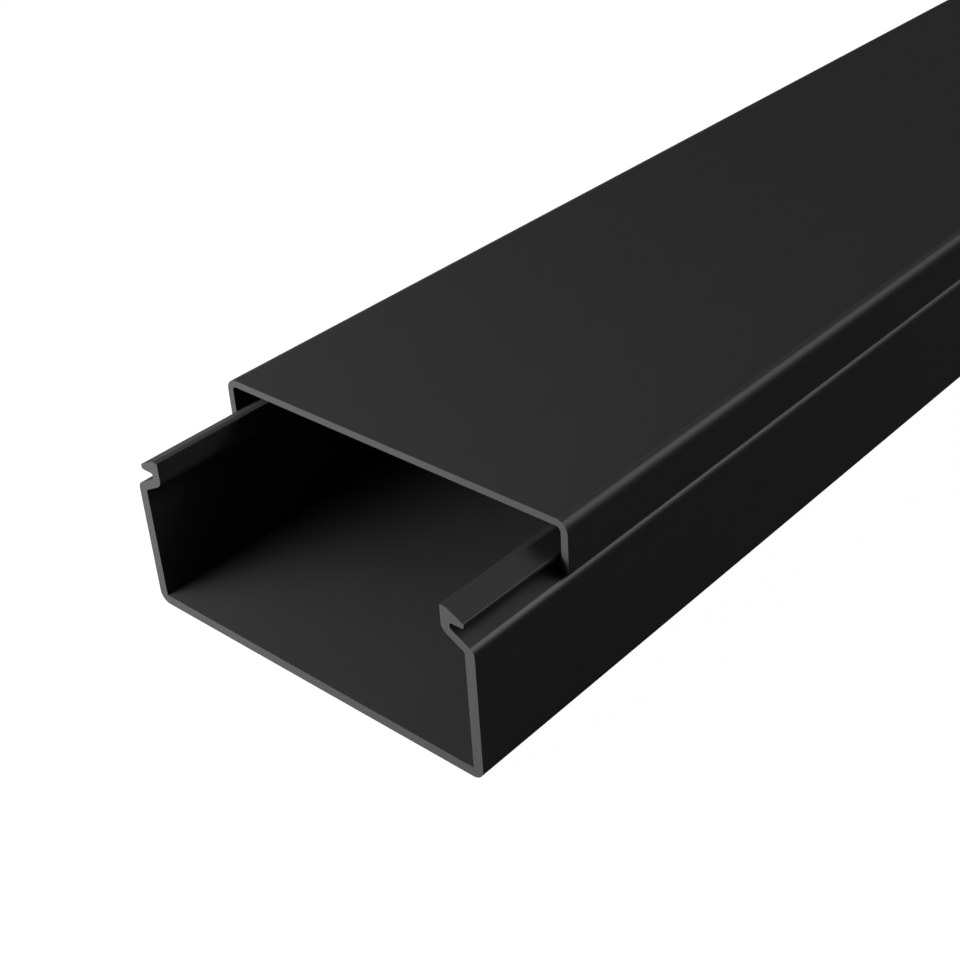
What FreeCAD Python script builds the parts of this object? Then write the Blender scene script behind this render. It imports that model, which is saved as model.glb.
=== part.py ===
import FreeCAD, Part
from enum import IntEnum
import math
import os
import Sketcher

# Cord cover raceway: a U-shaped base channel with hooked side walls, and a cover that
# snaps over the hooks and slides along them. Both are straight lengths of one section.
# Millimetres. The origin is the middle of the base's flat back face, which lies on the
# wall or floor. X runs across the channel, Y along it and Z out of the back face.
SIZES = [
    # the base channel
    ("raceway_width", 40.0),
    ("base_length", 400.0),
    ("wall_thick", 1.0),
    ("floor_thick", 0.98),
    ("back_edge_round", 1.12),
    # the shoulder, where each wall leans inwards below the cover
    ("shoulder_height", 13.03),
    ("shoulder_slope", 28.5),
    ("shoulder_thick", 0.83),
    ("shoulder_round", 0.85),
    ("wall_top_round", 0.3),
    # the neck and the hook above it, with the groove between hook and shoulder
    ("mouth_width", 33.4),
    ("neck_thick", 0.92),
    ("neck_round", 0.95),
    ("groove_height", 0.53),
    ("groove_round", 0.24),
    ("hook_height", 1.35),
    ("hook_slope", 26.0),
    ("hook_nose", 0.49),
    ("hook_under_round", 0.26),
    ("hook_nose_round", 0.08),
    ("hook_crown_round", 0.5),
    ("hook_lip_round", 0.1),
    # the cover
    ("cover_length", 400.0),
    ("cover_thick", 0.7),
    ("cover_headroom", 1.7),
    ("cover_edge_round", 1.2),
    ("cover_inner_round", 0.5),
    # the leg's bead, which snaps in under the hook, and the thin foot below it
    ("bead_catch", 0.1),
    ("bead_round", 0.12),
    ("foot_thick", 0.28),
    ("foot_round", 0.1),
    # the fit between the two
    ("hook_clearance", 0.21),
    ("bead_clearance", 0.14),
    ("seat_clearance", 0.52),
    ("cover_setback", 11.4),
]


def make_sheet(doc):
    """The driving dimensions, one named cell each."""
    sheet = doc.addObject("Spreadsheet::Sheet", "sizes")
    for row, (name, value) in enumerate(SIZES, start=1):
        sheet.set(f"A{row}", name)
        sheet.set(f"B{row}", str(value))
        sheet.setAlias(f"B{row}", name)
    doc.recompute()
    return sheet


# Places that both sections are drawn from, as formulas of the sheet's cells.
ZERO = "0"
OUTSIDE = "sizes.raceway_width / 2"
WALL_INSIDE = "sizes.raceway_width / 2 - sizes.wall_thick"
NECK_INSIDE = "sizes.mouth_width / 2"
GROOVE_ROOT = "sizes.mouth_width / 2 + sizes.neck_thick"
LEG_INSIDE = "sizes.raceway_width / 2 - sizes.cover_thick"
HOOK_TIP = f"{LEG_INSIDE} - sizes.hook_clearance"
SHOULDER_FALL = "sizes.shoulder_thick / cos(sizes.shoulder_slope)"


def shoulder_top(x):
    """Height of the shoulder's sloped top at x."""
    return f"sizes.shoulder_height + ({OUTSIDE} - ({x})) * tan(sizes.shoulder_slope)"


def shoulder_under(x):
    """Height of the shoulder's sloped underside at x."""
    return f"{shoulder_top(x)} - {SHOULDER_FALL}"


HOOK_UNDER = f"{shoulder_top(GROOVE_ROOT)} + sizes.groove_height"
HOOK_TOP = f"{HOOK_UNDER} + sizes.hook_height"
NOSE_TOP = f"{HOOK_UNDER} + sizes.hook_nose"
CROWN = f"{HOOK_TIP} - (sizes.hook_height - sizes.hook_nose) / tan(sizes.hook_slope)"
COVER_CEILING = f"{HOOK_TOP} + sizes.cover_headroom"
COVER_TOP = f"{COVER_CEILING} + sizes.cover_thick"
BEAD_TIP = f"{HOOK_TIP} - sizes.bead_catch"
BEAD_HEIGHT = f"{HOOK_UNDER} - sizes.bead_clearance"
BEAD_START = f"{BEAD_HEIGHT} + {LEG_INSIDE} - ({BEAD_TIP})"
FOOT_INSIDE = f"{OUTSIDE} - sizes.foot_thick"
FOOT = "sizes.shoulder_height + sizes.seat_clearance"

# Half sections, as corners (x, height, radius of the round), in order round the outline.
BASE_HALF = [
    (ZERO, ZERO, None),
    (OUTSIDE, ZERO, "back_edge_round"),
    (OUTSIDE, "sizes.shoulder_height", "shoulder_round"),
    (GROOVE_ROOT, shoulder_top(GROOVE_ROOT), "groove_round"),
    (GROOVE_ROOT, HOOK_UNDER, "groove_round"),
    (HOOK_TIP, HOOK_UNDER, "hook_under_round"),
    (HOOK_TIP, NOSE_TOP, "hook_nose_round"),
    (CROWN, HOOK_TOP, "hook_crown_round"),
    (NECK_INSIDE, HOOK_TOP, "hook_lip_round"),
    (NECK_INSIDE, shoulder_under(NECK_INSIDE), "neck_round"),
    (WALL_INSIDE, shoulder_under(WALL_INSIDE), "wall_top_round"),
    (WALL_INSIDE, "sizes.floor_thick", None),
    (ZERO, "sizes.floor_thick", None),
]
COVER_HALF = [
    (ZERO, COVER_CEILING, None),
    (LEG_INSIDE, COVER_CEILING, "cover_inner_round"),
    (LEG_INSIDE, BEAD_START, None),
    (BEAD_TIP, BEAD_HEIGHT, "bead_round"),
    (FOOT_INSIDE, FOOT, "foot_round"),
    (OUTSIDE, FOOT, "foot_round"),
    (OUTSIDE, COVER_TOP, "cover_edge_round"),
    (ZERO, COVER_TOP, None),
]


class Axis(IntEnum):
    """A sketch's own axes. The first one starts at the sketch's origin."""
    ACROSS = -1
    UP = -2


class End(IntEnum):
    """The two ends of a line or arc."""
    START = 1
    FINISH = 2


def origin_plane(body, role):
    """One of the body's own origin planes."""
    return next(plane for plane in body.Origin.OriginFeatures if plane.Role == role)


def round_ends(before, corner, after, radius):
    """Start, middle and end of the arc that rounds a corner between two straight lines."""
    to_before = (before - corner).normalize()
    to_after = (after - corner).normalize()
    half_angle = to_before.getAngle(to_after) / 2
    reach = radius / math.tan(half_angle)
    to_centre = (to_before + to_after).normalize()
    middle = corner + to_centre * (radius / math.sin(half_angle) - radius)
    return corner + to_before * reach, middle, corner + to_after * reach


def bind(sketch, constraint, formula):
    """Add a dimension to the sketch and drive it by a formula of the sheet's cells."""
    index = sketch.addConstraint(constraint)
    sketch.setExpression(f"Constraints[{index}]", formula)


def bind_across(sketch, geometry, value, formula):
    """Drive the distance of a line's start, or of a point, from the centre line."""
    across = ("DistanceX", Axis.ACROSS, End.START, geometry, End.START, value)
    bind(sketch, Sketcher.Constraint(*across), formula)


def bind_height(sketch, geometry, value, formula):
    """Drive the height of a line's start, or of a point, above the back face."""
    height = ("DistanceY", Axis.ACROSS, End.START, geometry, End.START, value)
    bind(sketch, Sketcher.Constraint(*height), formula)


def hold_line(sketch, line, ends, corners):
    """Fix a line: upright or level at its distance, or sloped through its two corners."""
    (x, height, _), (next_x, next_height, _) = corners
    if x == next_x:
        sketch.addConstraint(Sketcher.Constraint("Vertical", line))
        if x == ZERO:
            on_axis = Sketcher.Constraint("PointOnObject", line, End.START, Axis.UP)
            sketch.addConstraint(on_axis)
        else:
            bind_across(sketch, line, ends[0].x, x)
    elif height == next_height:
        sketch.addConstraint(Sketcher.Constraint("Horizontal", line))
        if height == ZERO:
            on_axis = Sketcher.Constraint("PointOnObject", line, End.START, Axis.ACROSS)
            sketch.addConstraint(on_axis)
        else:
            bind_height(sketch, line, ends[0].y, height)
    else:
        for point, (corner_x, corner_height, _) in zip(ends, corners):
            mark = sketch.addGeometry(Part.Point(point), True)
            bind_across(sketch, mark, point.x, corner_x)
            bind_height(sketch, mark, point.y, corner_height)
            on_line = Sketcher.Constraint("PointOnObject", mark, End.START, line)
            sketch.addConstraint(on_line)


def round_corner(sketch, line_in, line_out, arc_points, radius, rounding):
    """Join two lines by a tangent arc, with its radius driven by the sheet."""
    arc = sketch.addGeometry(Part.Arc(*arc_points))
    first, last = End.START, End.FINISH
    if sketch.getPoint(arc, End.START).distanceToPoint(arc_points[0]) > radius / 100:
        first, last = End.FINISH, End.START
    sketch.addConstraint(Sketcher.Constraint("Tangent", line_in, End.FINISH, arc, first))
    sketch.addConstraint(Sketcher.Constraint("Tangent", arc, last, line_out, End.START))
    bind(sketch, Sketcher.Constraint("Radius", arc, radius), f"sizes.{rounding}")


def draw_half_section(sketch, sheet, corners):
    """A closed outline of lines and tangent arcs, held by its corners and radii."""
    points = [
        FreeCAD.Vector(float(sheet.evalExpression(x)), float(sheet.evalExpression(height)), 0)
        for x, height, _ in corners
    ]
    radii = [float(sheet.get(rounding)) if rounding else 0.0 for _, _, rounding in corners]
    after = points[1:] + points[:1]
    arcs = [
        round_ends(points[i - 1], points[i], after[i], radii[i]) for i in range(len(points))
    ]
    lines = [
        sketch.addGeometry(Part.LineSegment(arc[2], next_arc[0]))
        for arc, next_arc in zip(arcs, arcs[1:] + arcs[:1])
    ]
    for i, (_, _, rounding) in enumerate(corners):
        if rounding:
            round_corner(sketch, lines[i - 1], lines[i], arcs[i], radii[i], rounding)
        else:
            sharp = ("Coincident", lines[i - 1], End.FINISH, lines[i], End.START)
            sketch.addConstraint(Sketcher.Constraint(*sharp))
    for line, *ends_and_corners in zip(lines, points, after, corners, corners[1:] + corners[:1]):
        hold_line(sketch, line, ends_and_corners[:2], ends_and_corners[2:])


def extruded_length(doc, sheet, label, corners, length):
    """A straight length of stock: half the section, padded along Y both ways and mirrored."""
    body = doc.addObject("PartDesign::Body", label)
    body.Label = label
    sketch = body.newObject("Sketcher::SketchObject", f"{label}_half_section")
    sketch.AttachmentSupport = [(origin_plane(body, "XZ_Plane"), "")]
    sketch.MapMode = "FlatFace"
    doc.recompute()
    draw_half_section(sketch, sheet, corners)

    pad = body.newObject("PartDesign::Pad", f"{label}_pad")
    pad.Profile = sketch
    pad.SideType = "Symmetric"
    pad.setExpression("Length", length)

    mirrored = body.newObject("PartDesign::Mirrored", f"{label}_mirrored")
    mirrored.Originals = [pad]
    mirrored.MirrorPlane = (origin_plane(body, "YZ_Plane"), [""])
    body.Tip = mirrored
    return body


def check(doc, bodies):
    """Stop if any object failed, or if a piece isn't one sound solid."""
    for obj in doc.Objects:
        if "Invalid" in obj.State or "Error" in obj.State:
            raise RuntimeError(f"{obj.Name} failed: {obj.State}")
    for body in bodies:
        shape = body.Shape
        if shape.isNull() or not shape.isValid() or len(shape.Solids) != 1:
            raise RuntimeError(f"{body.Label} is not one sound solid")


doc = FreeCAD.newDocument("cord_cover_raceway")
sheet = make_sheet(doc)
base = extruded_length(doc, sheet, "base_channel", BASE_HALF, "sizes.base_length")
cover = extruded_length(doc, sheet, "snap_cover", COVER_HALF, "sizes.cover_length")
# The cover's near end stands back from the base's near end.
cover.setExpression(
    "Placement.Base.y",
    "sizes.cover_setback + (sizes.cover_length - sizes.base_length) / 2",
)
doc.recompute()
check(doc, [base, cover])

os.makedirs("parts", exist_ok=True)
for body in (base, cover):
    body.Shape.exportStep(f"parts/{body.Label}.step")
    box = body.Shape.BoundBox
    print(f"{body.Label}: {box.XLength:.2f} x {box.YLength:.2f} x {box.ZLength:.2f} mm,"
          f" {body.Shape.Volume:.0f} mm3")
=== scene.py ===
import math
import bmesh
import bpy
from mathutils import Euler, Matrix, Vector


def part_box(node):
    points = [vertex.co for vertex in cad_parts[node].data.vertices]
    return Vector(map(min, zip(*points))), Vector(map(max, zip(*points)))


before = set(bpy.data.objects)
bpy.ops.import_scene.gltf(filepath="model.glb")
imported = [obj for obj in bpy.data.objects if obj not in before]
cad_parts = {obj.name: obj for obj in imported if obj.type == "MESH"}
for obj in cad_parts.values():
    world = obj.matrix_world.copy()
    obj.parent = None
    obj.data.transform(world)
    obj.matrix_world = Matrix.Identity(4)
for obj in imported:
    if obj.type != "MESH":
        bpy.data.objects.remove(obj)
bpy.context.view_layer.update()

scene = bpy.context.scene
scene.view_settings.view_transform = "Standard"

# The view: the cut end of the raceway from the right and above, close enough that the
# lengths run out of the picture at the upper right. The camera stands off the near end.
NEAR_END = Vector((0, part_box("base_channel")[0].y, 0))
CAMERA_FROM_NEAR_END = Vector((0.08636, -0.06844, 0.08932))
CAMERA_LOOKS_DOWN = 32.58
CAMERA_TURNED_LEFT = 43.33
CAMERA_ROLLED = -3.88
LENS = 60.707
SENSOR_WIDTH = 36.0
SEEN_FROM = 0.01
SEEN_TO = 20.0

camera = bpy.data.objects.new("camera", bpy.data.cameras.new("camera"))
camera.data.sensor_width = SENSOR_WIDTH
camera.data.lens = LENS
camera.data.clip_start = SEEN_FROM
camera.data.clip_end = SEEN_TO
camera.location = NEAR_END + CAMERA_FROM_NEAR_END
aim = Euler((math.radians(90 - CAMERA_LOOKS_DOWN), 0, math.radians(CAMERA_TURNED_LEFT)))
roll = Euler((0, 0, math.radians(CAMERA_ROLLED)))
camera.rotation_euler = (aim.to_matrix() @ roll.to_matrix()).to_euler()
scene.collection.objects.link(camera)
scene.camera = camera


# The base channel: a U of rigid black PVC with a hook along the top of each wall, extruded
# through a die in one length and sawn off square. The skin is matt with faint lines from
# the die. Its outer slopes and corners come out smoother, and the sawn ends paler.
SKIN_DARK = (0.0285, 0.0285, 0.0290, 1)
SKIN_PALE = (0.0315, 0.0315, 0.0320, 1)
SAWN_DARK = (0.0660, 0.0660, 0.0665, 1)
SAWN_PALE = (0.0750, 0.0750, 0.0750, 1)
DIE_LINE = 0.0005
DIE_BAND = 0.0050
DIE_STRETCH = (1, 250, 1)
DIE_LINE_DETAIL = 4.0
DIE_LINE_DEPTH = 1.5e-6
GRAIN = 0.00016
GRAIN_DEPTH = 0.8e-6
SAW_MARK = 0.00022
SAW_STRETCH = (12, 1, 1)
SAW_SLANT = 24.0
SAW_DEPTH = 3.0e-6
SKIN_ROUGHNESS = 0.80
SAWN_ROUGHNESS = 0.90
LINE_ROUGHNESS = 0.10
GLOSS = 0.005
SLOPE_GLAZE = 0.06
BASE_CORNER_GLAZE = 0.22
BASE_PATTERN_AT = (0, 0, 0)
GLAZE_ROUGHNESS = 0.40
GLAZE_IOR = 2.0
OUTER_FROM = 0.002
CORNER_TILT = (0.25, 0.75)
SLOPE_TILT = (0.84, 0.88)
TOP_TILT = (0.985, 0.998)
NOISE_MIDDLE = 0.5


class Wire:
    """A socket of a node tree. Arithmetic with it adds Math nodes to the tree."""

    def __init__(self, tree, socket=None):
        self.tree = tree
        self.socket = socket

    def node(self, kind, settings=None, out=0, **sockets):
        """Add a node: its settings first, then values or links for its named sockets."""
        node = self.tree.nodes.new(kind)
        for name, value in (settings or {}).items():
            setattr(node, name, value)
        for name, value in sockets.items():
            self.feed(node, name, value)
        return Wire(self.tree, node.outputs[out])

    def feed(self, node, name, value):
        """Set or link one socket. Input_2 is the third one, and an underscore is a space."""
        number = name.removeprefix("Input_")
        socket = node.inputs[int(number) if number.isdigit() else name.replace("_", " ")]
        if isinstance(value, Wire):
            self.tree.links.new(value.socket, socket)
        else:
            socket.default_value = value

    def part(self, axis):
        """The X, Y or Z of a vector."""
        return self.node("ShaderNodeSeparateXYZ", out=axis, Vector=self)

    def maths(self, operation, *values):
        sockets = {f"Input_{i}": value for i, value in enumerate(values)}
        return self.node("ShaderNodeMath", {"operation": operation}, **sockets)

    def __add__(self, other):
        return self.maths("ADD", self, other)

    def __radd__(self, other):
        return self.maths("ADD", other, self)

    def __sub__(self, other):
        return self.maths("SUBTRACT", self, other)

    def __rsub__(self, other):
        return self.maths("SUBTRACT", other, self)

    def __mul__(self, other):
        return self.maths("MULTIPLY", self, other)

    def __rmul__(self, other):
        return self.maths("MULTIPLY", other, self)

    def __abs__(self):
        return self.maths("ABSOLUTE", self)


def rise(value, low, high):
    """0 below low, 1 above high, and a smooth step between."""
    return value.node("ShaderNodeMapRange", {"interpolation_type": "SMOOTHSTEP"},
                      Value=value, From_Min=low, From_Max=high)


def blend(share, colour, other):
    """From one colour to another as the share goes from 0 to 1."""
    return share.node("ShaderNodeMix", {"data_type": "RGBA"}, out=2,
                      Input_0=share, Input_6=colour, Input_7=other)


def noise(place, size, stretch=(1, 1, 1), slant=0.0, detail=2.0):
    """Smooth noise with spots of that size, drawn out along axes turned about Y."""
    laid = place.node("ShaderNodeMapping", {"vector_type": "TEXTURE"}, Vector=place,
                      Rotation=(0, math.radians(slant), 0), Scale=stretch)
    return place.node("ShaderNodeTexNoise", Vector=laid, Scale=1 / size, Detail=detail)


def extruded_pvc(name, pattern_at, corner_glaze):
    """Black PVC that came out of a die along Y and was sawn across.

    The tilts part the faces by how far up they look, from 0 on a side to 1 on the top.
    """
    material = bpy.data.materials.new(name)
    material.use_nodes = True
    wire = Wire(material.node_tree)
    place = wire.node("ShaderNodeTexCoord", out="Object")
    facing = wire.node("ShaderNodeTexCoord", out="Normal")
    across, along, upward = (facing.part(axis) for axis in "XYZ")
    sawn = abs(along)
    outer = rise(across * place.part("X"), 0.0, OUTER_FROM)
    turned_up = rise(upward, *SLOPE_TILT)
    slope = turned_up * (1 - rise(upward, *TOP_TILT)) * outer
    corner = rise(upward, *CORNER_TILT) * (1 - turned_up) * outer

    pattern = place.node("ShaderNodeMapping", Vector=place, Location=pattern_at)
    lines = noise(pattern, DIE_LINE, DIE_STRETCH, detail=DIE_LINE_DETAIL)
    bands = noise(pattern, DIE_BAND, DIE_STRETCH)
    grain = noise(pattern, GRAIN)
    marks = noise(pattern, SAW_MARK, SAW_STRETCH, SAW_SLANT)

    skin_height = DIE_LINE_DEPTH * lines + GRAIN_DEPTH * grain
    height = skin_height * (1 - sawn) + SAW_DEPTH * marks * sawn
    bump = wire.node("ShaderNodeBump", Strength=1.0, Distance=1.0, Height=height)

    shader = material.node_tree.nodes["Principled BSDF"]
    skin = blend(bands, SKIN_DARK, SKIN_PALE)
    wire.feed(shader, "Base_Color", blend(sawn, skin, blend(marks, SAWN_DARK, SAWN_PALE)))
    roughness = SKIN_ROUGHNESS + LINE_ROUGHNESS * (lines - NOISE_MIDDLE)
    roughness = roughness + (SAWN_ROUGHNESS - SKIN_ROUGHNESS) * sawn
    wire.feed(shader, "Roughness", roughness)
    wire.feed(shader, "Specular_IOR_Level", GLOSS)
    wire.feed(shader, "Coat_Weight", SLOPE_GLAZE * slope + corner_glaze * corner)
    wire.feed(shader, "Coat_Roughness", GLAZE_ROUGHNESS)
    wire.feed(shader, "Coat_IOR", GLAZE_IOR)
    wire.feed(shader, "Normal", bump)
    return material


base_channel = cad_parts["base_channel"]
base_channel.material_slots[0].material = extruded_pvc(
    "black_pvc_base", BASE_PATTERN_AT, BASE_CORNER_GLAZE)


# The snap cover: a flat strip of the same PVC with a leg down each side. It is a second
# extrusion, clipped over the hooks of the base and slid a little back from its near end.
COVER_PATTERN_AT = (0.37, 0.11, 0.05)
COVER_CORNER_GLAZE = 0.14

snap_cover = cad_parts["snap_cover"]
snap_cover.material_slots[0].material = extruded_pvc(
    "black_pvc_cover", COVER_PATTERN_AT, COVER_CORNER_GLAZE)


# The floor: a plain white sheet that the raceway lies on, in white surroundings that add
# a little even light. The camera and the gloss see both white. Near the raceway the sheet
# takes the lamps as well to be quite white, so that a soft shadow shows there.
WHITE = (1, 1, 1, 1)
FLOOR_SIZE = 4.0
FLOOR_LIT = 0.10
FLOOR_GLOW = (0.965, 0.965, 0.965, 1)
SHADOW_REACH = 0.25
SHADOW_FADE = 0.60
AMBIENT = 0.02


def seen_as_background(wire):
    """1 for the rays that show the background: camera, glossy and transmission rays."""
    kinds = ("Is Camera Ray", "Is Glossy Ray", "Is Transmission Ray")
    direct, glossy, through = (wire.node("ShaderNodeLightPath", out=kind) for kind in kinds)
    return direct + glossy + through


sheet = bmesh.new()
bmesh.ops.create_grid(sheet, x_segments=1, y_segments=1, size=FLOOR_SIZE / 2)
floor = bpy.data.objects.new("floor", bpy.data.meshes.new("floor"))
sheet.to_mesh(floor.data)
sheet.free()
scene.collection.objects.link(floor)

paint = bpy.data.materials.new("white_floor")
paint.use_nodes = True
shader = paint.node_tree.nodes["Principled BSDF"]
wire = Wire(paint.node_tree)
wire.feed(shader, "Base_Color", (FLOOR_LIT, FLOOR_LIT, FLOOR_LIT, 1))
wire.feed(shader, "Roughness", 1.0)
wire.feed(shader, "Specular_IOR_Level", 0.0)
place = wire.node("ShaderNodeTexCoord", out="Object")
away = wire.node("ShaderNodeVectorMath", {"operation": "LENGTH"}, out="Value", Vector=place)
glow = blend(rise(away, SHADOW_REACH, SHADOW_FADE), FLOOR_GLOW, WHITE)
wire.feed(shader, "Emission_Color", glow)
wire.feed(shader, "Emission_Strength", seen_as_background(wire))
floor.data.materials.append(paint)

scene.world = bpy.data.worlds.new("studio")
scene.world.use_nodes = True
wire = Wire(scene.world.node_tree)
backdrop = scene.world.node_tree.nodes["Background"]
wire.feed(backdrop, "Color", WHITE)
wire.feed(backdrop, "Strength", AMBIENT + (1 - AMBIENT) * seen_as_background(wire))


# The lamps: square soft boxes, the main ones close to the cut end, low in front and to the
# left, so that the sawn ends are brightest and the right side is dark. Dim ones behind on
# the right put a line of light on the corners, and two more light the far end.
FAR_END = Vector((0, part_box("base_channel")[1].y, 0))


def soft_box(name, stands_by, turned, raised, away, size, brightness, spread=180):
    """A lamp aimed at a point. Turned is degrees right of straight in front of it.

    A brightness of 1 shows a surface that faces the lamp in about its own colour. A spread
    under 180 degrees is a grid on the lamp, which would otherwise brighten its middle.
    """
    lamp = bpy.data.objects.new(name, bpy.data.lights.new(name, "AREA"))
    lamp.data.size = size
    lamp.data.spread = math.radians(spread)
    reach = math.radians(spread / 2)
    grid_gain = math.tan(reach) / (math.tan(reach) - reach)
    lamp.data.energy = 4 * math.pi * away**2 * brightness / grid_gain
    across, up = math.radians(turned), math.radians(raised)
    level = math.cos(up)
    towards = Vector((math.sin(across) * level, -math.cos(across) * level, math.sin(up)))
    lamp.location = stands_by + towards * away
    lamp.rotation_euler = towards.to_track_quat("Z", "Y").to_euler()
    lamp.visible_camera = False
    scene.collection.objects.link(lamp)


soft_box("front", NEAR_END, turned=-20, raised=25, away=0.15, size=0.07, brightness=0.56)
soft_box("front_left", NEAR_END, turned=-40, raised=25, away=0.15, size=0.07, brightness=0.46)
soft_box("front_high", NEAR_END, turned=-30, raised=35, away=0.15, size=0.07, brightness=0.48)
soft_box("left", NEAR_END, turned=-60, raised=25, away=0.15, size=0.07, brightness=0.36)
soft_box("back_side", NEAR_END, turned=135, raised=30, away=0.6, size=0.27, brightness=0.145)
soft_box("back_low", NEAR_END, turned=150, raised=32, away=1.2, size=0.54, brightness=0.06)
soft_box("back_high", NEAR_END, turned=150, raised=45, away=1.2, size=0.54, brightness=0.16)
soft_box("far_left", FAR_END, turned=-110, raised=20, away=0.5, size=0.2, brightness=0.4,
         spread=60)
soft_box("far_top", FAR_END, turned=180, raised=70, away=0.45, size=0.2, brightness=0.3,
         spread=60)
